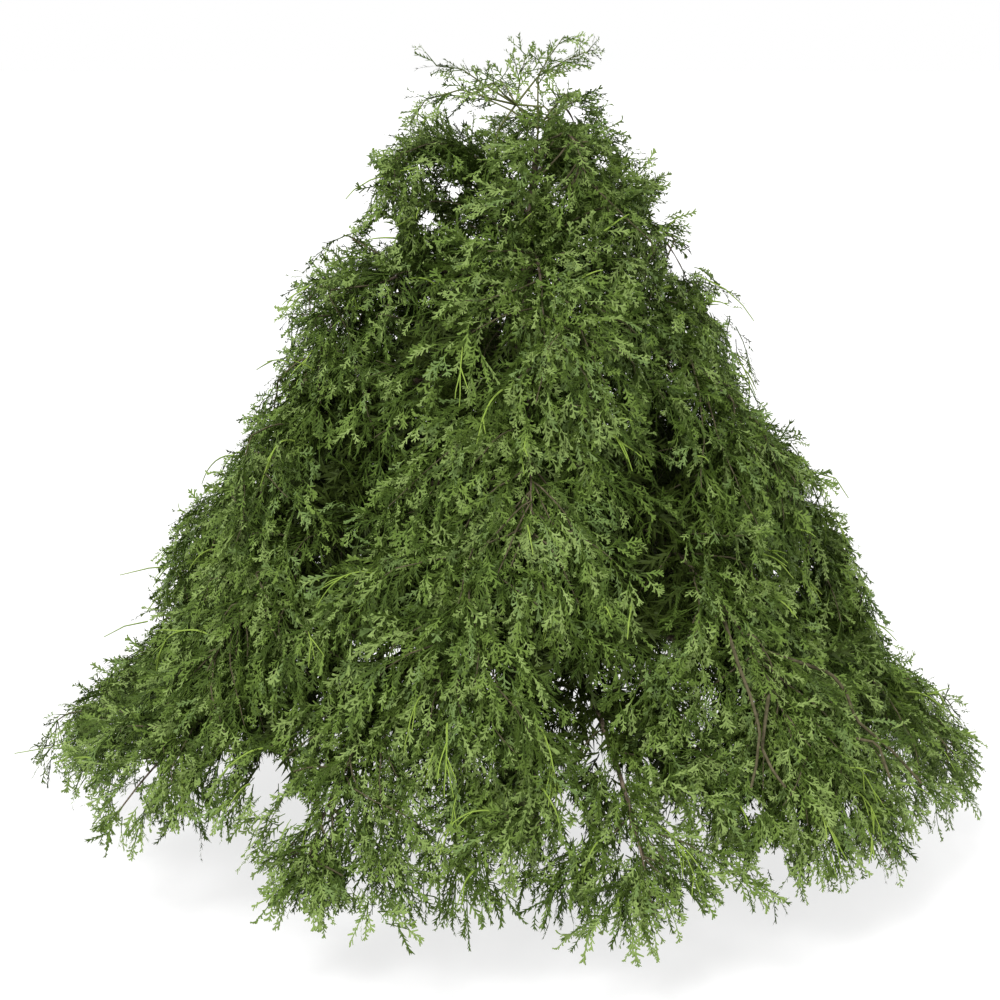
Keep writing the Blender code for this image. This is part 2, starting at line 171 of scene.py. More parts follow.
# Radii of the tubes at root and tip
BRANCH_TAPER = (0.0032, 0.0011)
LEADER_TAPER = (0.0036, 0.0013)
STALK_TAPER = (0.0020, 0.0010)
GREEN_END = 2  # steps at a branch's end that bear no bark

# Tints of the sprays
DEEP, MID, BLUE, FRESH_AND_LIT, PAINTED_SHADE_INNER = range(5)
TINT_SHARES = (0.26, 0.40, 0.18, 0.16)
# Painted light: the share of sprays that turn lighter at the crown's top and foot, where more light falls, and
# from which height on
TOP_PAINTED_LIGHT, TOP_PAINTED_LIGHT_RAMP = 0.45, (1.5, 0.4)  # share that turns lighter, and from which height on
FOOT_PAINTED_LIGHT, FOOT_PAINTED_LIGHT_RAMP = 0.34, (0.75, -0.3)
# Painted shade: the share of sprays that turn dark far under the crown's skin, and from which depth on
HEART_PAINTED_SHADE, HEART_PAINTED_SHADE_RAMP = 0.85, (0.03, 0.12)  # share that turns dark, and from which depth on
# Painted shade: these coarse inner sprays take the darkest green, a dark backing for the crown's shaded heart
INNER_DEPTH = 0.17  # sprays this far under the crown's skin are coarse
INNER_HEIGHTS = (0.50, 1.75)  # between these heights
INNER_SHARE = 0.60  # and so many of them are kept
# Each green, dark and light
GREENS = {
    # The inner green is painted shade; the deep green is partly the foliage's own darker tone, partly painted
    # shade; the fresh green is partly fresh growth, partly painted light
    "inner": ((0.020, 0.032, 0.004), (0.034, 0.052, 0.007)),
    "deep": ((0.030, 0.055, 0.007), (0.058, 0.094, 0.012)),
    "mid": ((0.076, 0.126, 0.020), (0.125, 0.186, 0.036)),
    "blue": ((0.086, 0.140, 0.036), (0.138, 0.200, 0.062)),
    "fresh_and_lit": ((0.136, 0.200, 0.048), (0.190, 0.258, 0.078)),
    "stem": ((0.070, 0.082, 0.024), (0.120, 0.130, 0.045)),
    "lime": ((0.165, 0.255, 0.034), (0.240, 0.330, 0.062)),
}

# Camera
CAMERA_DISTANCE = 7.5
CAMERA_TARGET = Vector((-0.05, 0, 1.05))
CAMERA_TILT = math.radians(14)
CAMERA_WAY = Vector((0, -math.cos(CAMERA_TILT), math.sin(CAMERA_TILT)))
CAMERA_PLACE = CAMERA_TARGET + CAMERA_DISTANCE * CAMERA_WAY
FOCAL_PIXELS = 2528  # focal length in pixels of a picture 1000 wide
PICTURE_WIDTH = 1000

# The open top: thin twigs from the trunk's end, most of them in the plane that is seen first
FORK = (0.059, 0.0, 2.147)
STAR = (-0.004, 0.02, 2.212)
LEADER_TWIGS = (
    ((0.055, 0.0, 2.09), FORK, (0.058, 0.0, 2.20), (0.058, -0.01, 2.294), (0.090, -0.02, 2.350),
     (0.130, -0.01, 2.405)),
    (FORK, STAR, (0.010, 0.02, 2.30), (0.027, 0.02, 2.36)),
    (STAR, (0.058, 0.03, 2.290), (0.14, 0.04, 2.337), (0.215, 0.04, 2.366)),
    (STAR, (-0.073, 0.01, 2.255), (-0.16, 0.00, 2.315), (-0.24, -0.02, 2.325)),
    (STAR, (-0.080, -0.04, 2.235), (-0.16, -0.07, 2.262), (-0.26, -0.09, 2.235), (-0.31, -0.10, 2.160)),
    (STAR, (-0.053, 0.00, 2.147), (-0.080, -0.03, 2.050)),
    (STAR, (0.078, -0.02, 2.209), (0.128, -0.05, 2.150)),
    (FORK, (0.12, 0.02, 2.195), (0.20, 0.03, 2.245)),
    (FORK, (0.10, -0.08, 2.21), (0.13, -0.17, 2.26), (0.14, -0.24, 2.25)),
    (STAR, (-0.03, 0.11, 2.25), (-0.05, 0.19, 2.27), (-0.04, 0.27, 2.24)),
    (FORK, (0.10, 0.10, 2.19), (0.15, 0.18, 2.23), (0.19, 0.24, 2.22)),
    (STAR, (-0.04, -0.08, 2.25), (-0.07, -0.17, 2.29), (-0.12, -0.25, 2.27)),
    (FORK, (-0.02, 0.09, 2.19), (-0.12, 0.17, 2.23), (-0.20, 0.23, 2.21)),
)

# Bare limbs that show through at the lower right: the bough each leaves, where on it, its radius,
# and the way
BARE_LIMBS = (
    ("lower_04", 17, 0.0058,
     ((0.577, -0.84, 0.794), (0.607, -0.88, 0.72), (0.625, -0.95, 0.657), (0.612, -1.01, 0.58),
      (0.590, -1.05, 0.505))),
    ("lower_04", 20, 0.0058,
     ((0.846, -0.62, 0.707), (0.888, -0.64, 0.66), (0.912, -0.68, 0.591), (1.02, -0.70, 0.50),
      (1.105, -0.73, 0.408))),
    ("lower_04", 22, 0.0060, ((0.631, -0.95, 0.606), (0.660, -0.98, 0.55), (0.707, -1.00, 0.493))),
    ("skirt_05", 17, 0.0050, ((0.960, -0.78, 0.560), (0.990, -0.86, 0.470))),
)
LIMB_GAP = 0.022  # the branchlets this near to them are left out
LIMB_LIFT = 0.02

# Openings where the sky shows through, as seen from the front. For each y: x, z and radius
OPENINGS = {
    -1.05: (
        (-0.66, 0.57, 0.065), (-0.77, 0.60, 0.035), (-0.59, 0.47, 0.045), (-0.97, 0.58, 0.035),
        (-1.02, 0.50, 0.045), (-0.41, 0.60, 0.022), (-0.19, 0.40, 0.028), (-0.44, 0.26, 0.028),
        (0.20, 0.62, 0.032), (0.27, 0.57, 0.030), (0.11, 0.50, 0.032), (0.15, 0.41, 0.035),
        (0.34, 0.61, 0.022), (0.29, 0.36, 0.030), (0.61, 0.47, 0.035), (0.66, 0.34, 0.045),
        (0.87, 0.49, 0.028),
    ),
    -0.20: (
        (-0.02, 2.05, 0.022), (-0.18, 2.00, 0.028), (0.11, 1.97, 0.020), (-0.25, 1.91, 0.035),
        (-0.38, 1.87, 0.050), (-0.43, 2.04, 0.045), (0.23, 2.07, 0.028), (0.40, 1.93, 0.035),
        (0.47, 1.79, 0.050), (0.57, 1.66, 0.040),
    ),
    0.00: (
        (0.17, 2.28, 0.035), (0.16, 2.19, 0.035), (0.06, 2.13, 0.015), (0.06, 2.09, 0.015),
        (0.05, 2.04, 0.015), (0.05, 1.99, 0.014),
    ),
}

# Long thin threads that stand out past the crown
STRAYS = (
    ((-1.30, 0.00, 0.31), (-1.42, 0.00, 0.275), (-1.53, 0.00, 0.255)),
    ((-0.37, -0.05, 2.02), (-0.42, -0.05, 2.005), (-0.47, -0.05, 1.975), (-0.50, -0.05, 1.94)),
    ((0.52, -0.05, 1.73), (0.60, -0.05, 1.69), (0.65, -0.05, 1.645), (0.69, -0.05, 1.59)),
    ((-0.60, -0.05, 1.70), (-0.65, -0.05, 1.67), (-0.685, -0.05, 1.61)),
    ((-1.02, -0.05, 0.86), (-1.09, -0.05, 0.855), (-1.19, -0.05, 0.83)),
    ((-1.10, -0.05, 0.69), (-1.17, -0.05, 0.675), (-1.235, -0.05, 0.64)),
    ((1.27, -0.05, 0.36), (1.35, -0.05, 0.335), (1.405, -0.05, 0.31)),
    ((1.15, -0.35, 0.44), (1.23, -0.38, 0.40), (1.27, -0.40, 0.33)),
    ((0.86, -0.10, 1.16), (0.93, -0.10, 1.14), (0.97, -0.10, 1.08)),
    ((0.10, 1.16, 0.50), (0.12, 1.27, 0.49), (0.14, 1.34, 0.45)),
    ((-0.55, 0.80, 0.98), (-0.62, 0.90, 0.97), (-0.66, 0.97, 0.93)),
    ((0.62, 0.50, 1.33), (0.70, 0.57, 1.32), (0.75, 0.62, 1.27)),
)


class Tier(NamedTuple):
    """One ring of boughs at about the same height."""

    name: str
    first_turn: float
    count: int
    root_height: float
    tip_radius: float
    tip_height: float
    arch: float
    droop: float
    stagger: float
    root_radius: float
    bare: float
    half_width: float


TIERS = (
    Tier("skirt", 174, 10, 0.62, 1.36, 0.24, 0.18, 0.40, 0.07, 0.024, 0.38, 0.47),
    Tier("lower", 161, 7, 0.98, 1.10, 0.60, 0.20, 0.42, 0.20, 0.020, 0.34, 0.46),
    Tier("middle", 198, 5, 1.32, 0.86, 1.04, 0.20, 0.38, 0.20, 0.016, 0.31, 0.50),
    Tier("upper", 190, 4, 1.62, 0.62, 1.47, 0.20, 0.32, 0.20, 0.013, 0.28, 0.46),
    Tier("shoulder", 178, 3, 1.88, 0.39, 1.98, 0.22, 0.20, 0.10, 0.010, 0.26, 0.36),
)


class Limb(NamedTuple):
    name: str
    tier: Tier
    points: list
    radii: list


def trunk_centre(height):
    share = height / TRUNK_TOP
    sway = TRUNK_SWAY * math.sin(2 * math.pi * share)
    return Vector((TRUNK_LEAN * share**1.4 + sway, -0.6 * sway, height))


def trunk_radius(height, turn):
    share = height / TRUNK_TOP
    taper = TRUNK_TOP_RADIUS + (TRUNK_FOOT_RADIUS - TRUNK_TOP_RADIUS) * (1 - share) ** 0.85
    lobes = 0.75 + 0.25 * math.cos(FLARE_LOBES * turn)
    return taper + FLARE * lobes * math.exp(-height / FLARE_HEIGHT)


def bezier(a, b, c, d, t):
    s = 1 - t
    return a * s**3 + b * 3 * s * s * t + c * 3 * s * t * t + d * t**3


def bough_line(tier, index, rng):
    turn = tier.first_turn + 360 / tier.count * index
    turn = math.radians(turn + rng.uniform(-TURN_SPREAD, TURN_SPREAD))
    step = 2 * index % STAGGER_STEPS
    slide = tier.stagger * step / (STAGGER_STEPS - 1) + rng.uniform(-0.03, 0.03)
    tip_height = tier.tip_height + slide
    tip_radius = tier.tip_radius - CROWN_SLOPE * slide
    out = Vector((math.cos(turn), math.sin(turn), 0))
    root = trunk_centre(tier.root_height + ROOT_STEP * step)
    tip = out * tip_radius + UP * tip_height
    rise = root + out * 0.30 * tip_radius + UP * tier.arch
    fall = tip - out * 0.24 * tip_radius + UP * tier.droop
    return [bezier(root, rise, fall, tip, i / LINE_STEPS) for i in range(LINE_STEPS + 1)]


def limb_radii(root_radius, count):
    return [TIP_RADIUS + (root_radius - TIP_RADIUS) * (1 - i / (count - 1)) ** 0.8 for i in range(count)]


def plan_limbs():
    rng = random.Random(SEED)
    limbs = []
    for tier in TIERS:
        for index in range(tier.count):
            points = bough_line(tier, index, rng)
            radii = limb_radii(tier.root_radius, len(points))
            name = f"{tier.name}_{index + 1:02d}"
            limbs.append(Limb(name, tier, points, radii))
    return limbs


def column(values):
    return values[:, None]


def unit(vectors):
    return vectors / np.maximum(np.linalg.norm(vectors, axis=-1, keepdims=True), 1e-9)


def ramp(values, start, span):
    """0 up to the start, 1 from a span beyond it on."""
    return np.clip((values - start) / span, 0, 1)


def within(points, low, high):
    return ((points > low) & (points < high)).all(axis=1)


def crown_depth(points):
    """How far inside the crown's skin each point lies, in metres; below zero is outside."""
    turn = np.arctan2(points[..., 1], points[..., 0])
    height = points[..., 2]
    wander = 1.6 * np.sin(3 * turn)
    ledge = LEDGE * np.sin(2 * np.pi * (height - LEDGE_HEIGHT) / LEDGE_SPACING + wander)
    tuft = TUFT * np.sin(2 * np.pi * height / TUFT_HEIGHT + 2.0 * np.sin(5 * turn))
    tuft = tuft * np.sin(TUFTS_ROUND * turn + 7 * height)
    skin = SKIN_RADIUS - SKIN_SLOPE * height + ledge + tuft
    for middle, spread, level, tall, depth in DENTS:
        aside = (1 - np.cos(turn - math.radians(middle))) / (1 - math.cos(math.radians(spread)))
        skin -= depth * np.exp(-aside - ((height - level) / tall) ** 2)
    return skin - np.hypot(points[..., 0] - CROWN_MIDDLE, points[..., 1])


def outward(points):
    """Level directions away from the trunk."""
    return unit(points * (1.0, 1.0, 0.0))


def crown_normal(points):
    return unit(outward(points) + UPWARD * SKIN_SLOPE)


class Space:
    """The space that each limb's foliage keeps to: nearer to it than to the other limbs, inside
    the box and above the fringe of the skirt."""

    def __init__(self, limbs, box):
        trunk_line = [trunk_centre(TRUNK_TOP * i / 20) for i in range(21)]
        lines = [np.array(line) for line in [*(limb.points for limb in limbs), trunk_line]]
        self.starts = np.concatenate([line[:-1] for line in lines])
        self.steps = np.concatenate([line[1:] - line[:-1] for line in lines])
        self.lengths = (self.steps**2).sum(axis=1)
        self.owner = np.concatenate([np.full(len(line) - 1, i) for i, line in enumerate(lines)])
        self.firsts = np.searchsorted(self.owner, np.arange(len(lines)))
        self.trunk = len(limbs)
        self.low = np.array(box[0]) - BOX_MARGIN
        self.high = np.array(box[1]) + BOX_MARGIN
        self.leaf_low = np.array(box[0]) - LEAF_MARGIN
        self.leaf_high = np.array(box[1]) + LEAF_MARGIN
        tips = outward(np.array([line[-1] for line in lines]))
        self.across = np.stack([-tips[:, 1], tips[:, 0], 0 * tips[:, 0]], axis=1)

    def distances(self, points):
        """Distance of each point to each line."""
        offset = points[:, None, :] - self.starts
        along = np.clip((offset * self.steps).sum(axis=2) / self.lengths, 0, 1)
        away = np.linalg.norm(offset - along[:, :, None] * self.steps, axis=2)
        return np.minimum.reduceat(away, self.firsts, axis=1)

    def clearance(self, points, owners, batch=2000):
        """How much nearer the points are to their own line than to the next one."""
        result = np.empty(len(points))
        for first in range(0, len(points), batch):
            chosen = slice(first, first + batch)
            away = self.distances(points[chosen])
            rows = np.arange(len(away))
            mine = away[rows, owners[chosen]].copy()
            away[rows, owners[chosen]] = np.inf
            result[chosen] = away.min(axis=1) - mine
        return result

    def boxed(self, points):
        return within(points, self.low, self.high)

    def leaf_fits(self, points):
        return within(points, self.leaf_low, self.leaf_high)

    def fringe(self, points, owners, rng):
        """The lowest height for lines from these points: lower near the middle of each plume."""
        aside = np.abs((points * self.across[owners]).sum(axis=1))
        lowest = rng.uniform(*LOWEST_LEAF, len(points)) + FRINGE_NOTCH * np.maximum(aside - 0.12, 0)
        turn = np.degrees(np.arctan2(points[:, 1], points[:, 0])) % 360
        for lobes, depth in FRINGE_LOBES:
            lowest += depth * np.sin(np.radians(lobes * turn))
        for middle, width, rise in FRINGE_RISES:
            lowest += rise * np.exp(-(((turn - middle) / width) ** 2))
        return lowest


class Growth(NamedTuple):
    """Many lines grown together: points by step and line, and how many steps each made."""

    points: np.ndarray
    made: np.ndarray
    owner: np.ndarray
    face: np.ndarray  # the way each line's flat side faces

    @property
    def steps(self):
        return len(self.points) - 1


class Sites(NamedTuple):
    """Places along lines where the next level grows."""

    place: np.ndarray
    way: np.ndarray
    side: np.ndarray
    face: np.ndarray
    share: np.ndarray
    line: np.ndarray
    step: np.ndarray
    owner: np.ndarray


class Habit(NamedTuple):
    """How a kind of twig grows."""

    step: float
    sag: tuple  # bend down for each metre
    wobble: float
    lengths: tuple  # in metres, or as shares of the room that there is
    slides: bool = False  # along under the crown's skin, instead of ending at it
    reach: tuple = REACH
    overlap: float = CELL_OVERLAP
    ceiling: tuple = CEILING


FREE = 9  # an overlap that keeps to no limb's space
BRANCHES = Habit(BRANCH_STEP, (0.5, 1.8), 0.10, (0.70, 1.40), slides=True)
TAILS = Habit(BRANCH_STEP, (1.0, 3.0), 0.06, (0.20, 0.42), slides=True, overlap=0.16)
SHOOTS = Habit(BRANCH_STEP, (1.2, 2.6), 0.07, (0.75, 1.12), slides=True, overlap=0.40)
HANGING = Habit(FROND_STEP, (4.0, 11.0), 0.06, (0.12, 0.24))
COVERING = HANGING._replace(lengths=(0.09, 0.17), ceiling=(2.03, 2.19))
RISING = Habit(FROND_STEP, (0.0, 4.0), 0.08, (0.10, 0.24), reach=(-0.02, 0.07), overlap=0.5, ceiling=(2.08, 2.22))
LEADING = Habit(FROND_STEP, (1.0, 5.0), 0.05, (0.04, 0.10), reach=(0.08, 0.16), overlap=FREE, ceiling=(2.28, 2.37))
ARCHING = Habit(WHIP_STEP, (7.0, 14.0), 0.05, (0.13, 0.25), reach=(0.05, 0.10), overlap=FREE)
TINES = ARCHING._replace(sag=(3.0, 6.0), lengths=(0.04, 0.11))


def grow(space, habit, sites, ways, faces, lengths, rng):
    """Grows a line from each site. It bends down, and ends at its length or where it would leave
    the crown or its limb's space."""
    starts, owners = sites.place, sites.owner
    count = len(starts)
    step = habit.step
    steps = int(math.ceil(lengths.max() / step))
    points = np.repeat(starts[None], steps + 1, axis=0)
    lowest = space.fringe(starts, owners, rng)
    highest = np.maximum(rng.uniform(*habit.ceiling, count), starts[:, 2] + 0.04)
    sag = rng.uniform(*habit.sag, count) * (1 - TOP_LIFT * ramp(starts[:, 2], *LIFT_RAMP))
    reach = np.maximum(rng.uniform(*habit.reach, count), np.minimum(0.02 - crown_depth(starts), 0.06))
    way, made = unit(ways), np.zeros(count, int)
    alive = np.ones(count, bool)
    for i in range(steps):
        way = unit(way - UPWARD * sag[:, None] * step + rng.normal(0, habit.wobble, way.shape))
        ahead = points[i] + way * step
        normal = crown_normal(ahead)
        over = -crown_depth(ahead) - reach
        if habit.slides:
            ahead = ahead - normal * column(np.maximum(over, 0))
            way = unit(ahead - points[i])
        else:
            alive &= (over < 0) | ((way * normal).sum(axis=1) < 0)
        alive &= (i + 0.5) * step < lengths
        alive &= (ahead[:, 2] > lowest) & (ahead[:, 2] < highest) & space.boxed(ahead)
        open_ones = np.flatnonzero(alive)
        if len(open_ones) == 0:
            break
        free = space.clearance(ahead[open_ones], owners[open_ones]) > -habit.overlap
        alive[open_ones] &= free
        points[i + 1 :] = np.where(alive[:, None], ahead, points[i])
        made += alive
    return Growth(points, made, owners, faces)


def sites_of(growth, first=1, last_too=True):
    """Every point of the lines from the first step on, with its frame."""
    steps, count = growth.points.shape[:2]
    index = np.arange(steps)[:, None]
    there = (index >= first) & (index <= growth.made[None] - (0 if last_too else 1))
    step, line = np.nonzero(there)
    after = np.minimum(step + 1, growth.made[line])
    before = np.maximum(step - 1, 0)
    way = unit(growth.points[after, line] - growth.points[before, line])
    side = unit(np.cross(way, growth.face[line]))
    face = np.cross(side, way)
    share = step / np.maximum(growth.made[line], 1)
    return Sites(growth.points[step, line], way, side, face, share, line, step, growth.owner[line])


def resampled(points, spacing):
    """A line's points at an even spacing."""
    points = np.array(points)
    along = np.concatenate([[0], np.cumsum(np.linalg.norm(np.diff(points, axis=0), axis=1))])
    wanted = np.arange(0, along[-1], spacing)
    return np.stack([np.interp(wanted, along, points[:, axis]) for axis in range(3)], axis=1)


def lines_as_growth(lines, spacing, owner):
    """Given lines as one growth, with even steps."""
    lines = [resampled(line, spacing) for line in lines]
    steps = max(len(line) for line in lines)
    filled = [np.concatenate([line, np.repeat(line[-1:], steps - len(line), axis=0)]) for line in lines]
    points = np.stack(filled, axis=1)
    made = np.array([len(line) - 1 for line in lines])
    face = unit(crown_normal(points[steps // 2]) + UPWARD)
    return Growth(points, made, np.full(len(lines), owner), face)


def stems_of(limbs, bare_part=1.0):
    """The stems that carry on from the boughs, as one growth."""
    lines = [limb.points[round(bare_part * limb.tier.bare * LINE_STEPS) :] for limb in limbs]
    return lines_as_growth(lines, STEM_STEP, 0)._replace(owner=np.arange(len(limbs)))


def plume_profile(share):
    """Width of a plume along its stem: narrow at its root, full past the middle, blunt at its tip."""
    swell = 0.55 + 0.45 * np.sin(np.pi / 2 * (np.minimum(share, 0.57) / 0.57) ** 1.25)
    taper = 1 - 0.40 * (np.maximum(share - 0.57, 0) / 0.43) ** 1.6
    return np.minimum(swell, taper)


def around(sites, turn, forward, up=0.75, down=0.45):
    """Ways that stand out round each site's line at the given turn, less far up and down."""
    rise = np.sin(turn) * np.where(np.sin(turn) > 0, up, down)
    return sites.way * forward + sites.side * column(np.cos(turn)) + sites.face * column(rise)


def picked(sites, chosen):
    return Sites(*(values[chosen] for values in sites))


def outer_part(sites, share):
    return picked(sites, sites.share > share)


def together(parts):
    """The sites of several growths."""
    return Sites(*(np.concatenate(values) for values in zip(*parts)))


def golden(sites, rng):
    """Turns from one site of a line to the next."""
    return np.radians(GOLDEN_TURN * sites.step + 71 * sites.line + rng.uniform(-25, 25, len(sites.step)))


def grow_branches(space, stems, limbs, rng):
    """Branches that stand out all round the stems, to the width of the plume and up to its skin."""
    sites = sites_of(stems)
    half_width = np.array([limb.tier.half_width for limb in limbs])[sites.owner]
    length = half_width * plume_profile(sites.share) * rng.uniform(*BRANCHES.lengths, len(sites.place))
    ways = around(sites, golden(sites, rng), 0.60)
    return grow(space, BRANCHES, sites, ways, sites.face, length, rng)


def grow_tails(space, stems, rng):
    """Long tails that run on from the ends of the stems and hang over what is below."""
    sites = outer_part(sites_of(stems), 0.72)
    ways = around(sites, golden(sites, rng), 1.3, 0.4, 0.4)
    return grow(space, TAILS, sites, ways, sites.face, rng.uniform(*TAILS.lengths, len(sites.place)), rng)


def grow_shoots(space, rng):
    """Shoots from the trunk itself, which close the crown between the boughs."""
    heights = np.arange(*SHOOT_HEIGHTS, SHOOT_SPACING)
    turn = np.radians(GOLDEN_TURN) * np.arange(len(heights))
    for middle, low, high in SHOOT_SEAMS:
        heights = np.append(heights, rng.uniform(low, high, SEAM_SHOOTS))
        turn = np.append(turn, np.radians(rng.normal(middle, SEAM_SPREAD, SEAM_SHOOTS)))
    count = len(heights)
    places = np.array([trunk_centre(height) for height in heights])
    out = np.stack([np.cos(turn), np.sin(turn), 0 * turn], axis=1)
    ways = out + UPWARD * column(rng.uniform(0.35, 1.0, count))
    lengths = (SKIN_RADIUS - SKIN_SLOPE * heights) * rng.uniform(*SHOOTS.lengths, count)
    owner = np.full(count, space.trunk)
    sites = Sites(places, ways, out, ways, 0 * heights, np.arange(count), np.arange(count), owner)
    return grow(space, SHOOTS, sites, ways, unit(out + UPWARD), lengths, rng)


def grow_fronds(space, sites, turn, rng, habit):
    """Fronds stand out round what bears them, and hang over at their ends."""
    count = len(sites.place)
    ways = around(sites, turn, rng.uniform(0.3, 0.9, (count, 1)), 0.8, 0.35)
    length = rng.uniform(*habit.lengths, count) * (1.0 - 0.25 * sites.share)
    faces = unit(crown_normal(sites.place) + rng.normal(0, 0.45, (count, 3)))
    return grow(space, habit, sites, ways, faces, length, rng)


def grow_rising(space, sites, rng):
    """Fronds that rise from the topmost limbs."""
    count = len(sites.place)
    ways = outward(sites.place) + UPWARD * column(rng.uniform(0.2, 1.2, count))
    ways = ways + rng.normal(0, 0.45, ways.shape)
    return grow(space, RISING, sites, ways, sites.face, rng.uniform(*RISING.lengths, count), rng)


class Pattern(NamedTuple):
    """How a kind of branchlet forks. Lengths and widths are shares of its own length."""

    fingers: int
    first: float  # where the first finger leaves its thread
    angles: tuple
    length: float  # of a finger
    width: float
    thread: float  # width of the thread
    forks: float  # share of the fingers that fork
    tip: float  # width of a finger's tip, as a share of its root's
    size: float = 1.0


HANDS = Pattern(5, 0.28, (34, 58), 0.25, 0.080, 0.052, 0.5, 0.62)
THREADS = Pattern(7, 0.20, (16, 40), 0.15, 0.058, 0.038, 0.2, 0.62, 1.45)
SHADED_HANDS = Pattern(6, 0.25, (30, 58), 0.28, 0.086, 0.055, 0.0, 0)
SHADED_THREADS = Pattern(8, 0.16, (16, 40), 0.18, 0.066, 0.040, 0.0, 0, 1.45)
COARSE = Pattern(5, 0.15, (25, 55), 0.40, 0.110, 0.070, 0.0, 0)
TILT = 0.45  # radians that a finger may stand out of its branchlet's plane
DROOP = 0.16


def flat_piece(bm, start, turn, length, widths, tilt=0.0):
    """One flat straight piece of a branchlet, from one width to the other or to a point."""
    root, tip = 0.5 * widths[0], 0.5 * widths[1]
    corners = [(length, tip, 0), (length, -tip, 0)] if tip else [(length, 0, 0)]
    verts = [bm.verts.new(corner) for corner in [*corners, (0, -root, 0), (0, root, 0)]]
    bm.faces.new(verts)
    ways = Matrix.Rotation(turn, 3, "Z") @ Matrix.Rotation(tilt, 3, "Y")
    bmesh.ops.rotate(bm, verts=verts, matrix=ways)
    bmesh.ops.translate(bm, verts=verts, vec=start)


def arrays_of(bm, bend, size):
    """Points and triangles of a flat shape, bent aside and down."""
    bmesh.ops.triangulate(bm, faces=bm.faces)
    bm.verts.index_update()
    verts = np.array([tuple(v.co) for v in bm.verts])
    faces = np.array([[v.index for v in face.verts] for face in bm.faces])
    bm.free()
    verts[:, 1] += bend * verts[:, 0] ** 2
    verts[:, 2] -= DROOP * verts[:, 0] ** 2
    return size * verts, faces


def branchlet_shape(seed, pattern):
    """One branchlet 1 long: its stalk, and the hand of blunt scale-leaved fingers at its end."""
    rng = random.Random(seed)
    stalk, hand = bmesh.new(), bmesh.new()
    base = pattern.first - 0.04
    widths = (pattern.width, pattern.tip * pattern.width)
    flat_piece(stalk, (0, 0, 0), 0, base, (0.8 * pattern.thread, pattern.thread))
    flat_piece(hand, (base, 0, 0), 0, 0.80 - base, (pattern.thread, pattern.thread))
    for i in range(pattern.fingers):
        side = 1 if i % 2 else -1
        along = pattern.first + (0.76 - pattern.first) * i / (pattern.fingers - 1) + rng.uniform(-0.02, 0.02)
        turn = side * math.radians(rng.uniform(*pattern.angles))
        length = pattern.length * rng.uniform(0.75, 1.35)
        tilt = rng.uniform(-TILT, TILT)
        flat_piece(hand, (along, 0, 0), turn, length, widths, tilt)
        if rng.random() < pattern.forks:
            reach = 0.55 * length * math.cos(tilt)
            start = (along + math.cos(turn) * reach, math.sin(turn) * reach, -0.55 * length * math.sin(tilt))
            flat_piece(hand, start, turn + side * rng.uniform(0.5, 0.9), 0.5 * length, widths, tilt)
    for spread in (-0.50, 0.05, 0.55):
        turn = spread + rng.uniform(-0.15, 0.15)
        length = pattern.length * rng.uniform(0.7, 1.1)
        flat_piece(hand, (0.77, 0, 0), turn, length, widths, rng.uniform(-TILT, TILT))
    bend = rng.uniform(-0.22, 0.22)
    return arrays_of(stalk, bend, pattern.size), arrays_of(hand, bend, pattern.size)


class Soup(NamedTuple):
    """Points and triangles of one joined mesh."""

    verts: np.ndarray
    faces: np.ndarray


def compact(verts, faces):
    """A soup of only the points that its triangles use."""
    used, packed = np.unique(faces, return_inverse=True)
    return Soup(verts[used], packed.reshape(-1, 3))


def joined(soups):
    soups = [soup for soup in soups if len(soup.faces)]
    shift = np.cumsum([0] + [len(soup.verts) for soup in soups[:-1]])
    verts = np.concatenate([soup.verts for soup in soups])
    faces = np.concatenate([soup.faces + first for soup, first in zip(soups, shift)])
    return Soup(verts, faces)


def placed(shape, place, way, side, face, scale):
    """Copies of a shape at many places, as one soup."""
    verts, faces = shape
    local = verts[None] * scale[:, None, None]
    points = (
        place[:, None]
        + local[..., 0:1] * way[:, None]
        + local[..., 1:2] * side[:, None]
        + local[..., 2:3] * face[:, None]
    )
    shift = np.arange(len(place)) * len(verts)
    return Soup(points.reshape(-1, 3), (faces[None] + shift[:, None, None]).reshape(-1, 3))


def thinned(growth, stride):
    """The same lines with only every so many of their points."""
    made = growth.made
    picks = np.arange(0, growth.steps + stride, stride)
    index = np.minimum(picks[:, None], made[None])
    points = growth.points[index, np.arange(len(made))[None]]
    return growth._replace(points=points, made=-(-made // stride))


def tubes(growth, radius, sides=3):
    """Thin tubes along all lines. radius is an array by step and line."""
    steps, count = growth.points.shape[:2]
    index, lines, made = np.arange(steps)[:, None], np.arange(count)[None], growth.made[None]
    after, before = np.minimum(index + 1, made), np.minimum(np.maximum(index - 1, 0), made)
    way = unit(growth.points[after, lines] - growth.points[before, lines])
    side = unit(np.cross(way, growth.face[None]))
    normal = np.cross(side, way)
    turns = 2 * np.pi * np.arange(sides) / sides
    ring = side[:, :, None] * np.cos(turns)[:, None] + normal[:, :, None] * np.sin(turns)[:, None]
    verts = growth.points[:, :, None] + ring * radius[:, :, None, None]
    numbers = np.arange(steps * count * sides).reshape(steps, count, sides)
    step, line = np.nonzero(index[:-1] < made)
    low, high = numbers[step, line], numbers[step + 1, line]
    low_next, high_next = np.roll(low, -1, axis=1), np.roll(high, -1, axis=1)
    corners = ((low, high, high_next), (low, high_next, low_next))
    faces = np.concatenate([np.stack(corner, axis=2) for corner in corners]).reshape(-1, 3)
    return compact(verts.reshape(-1, 3), faces)


def tapering(growth, root, tip):
    """Radii by step and line that narrow from root to tip."""
    share = np.clip(np.arange(growth.steps + 1)[:, None] / np.maximum(growth.made[None], 1), 0, 1)
    return root + (tip - root) * share


def add_piece(mesh, material, nodes):
    """Adds a mesh as a piece that stands for its nodes."""
    mesh.materials.append(material)
    obj = bpy.data.objects.new(mesh.name, mesh)
    bpy.context.scene.collection.objects.link(obj)
    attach(obj, "root")
    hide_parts(*nodes)


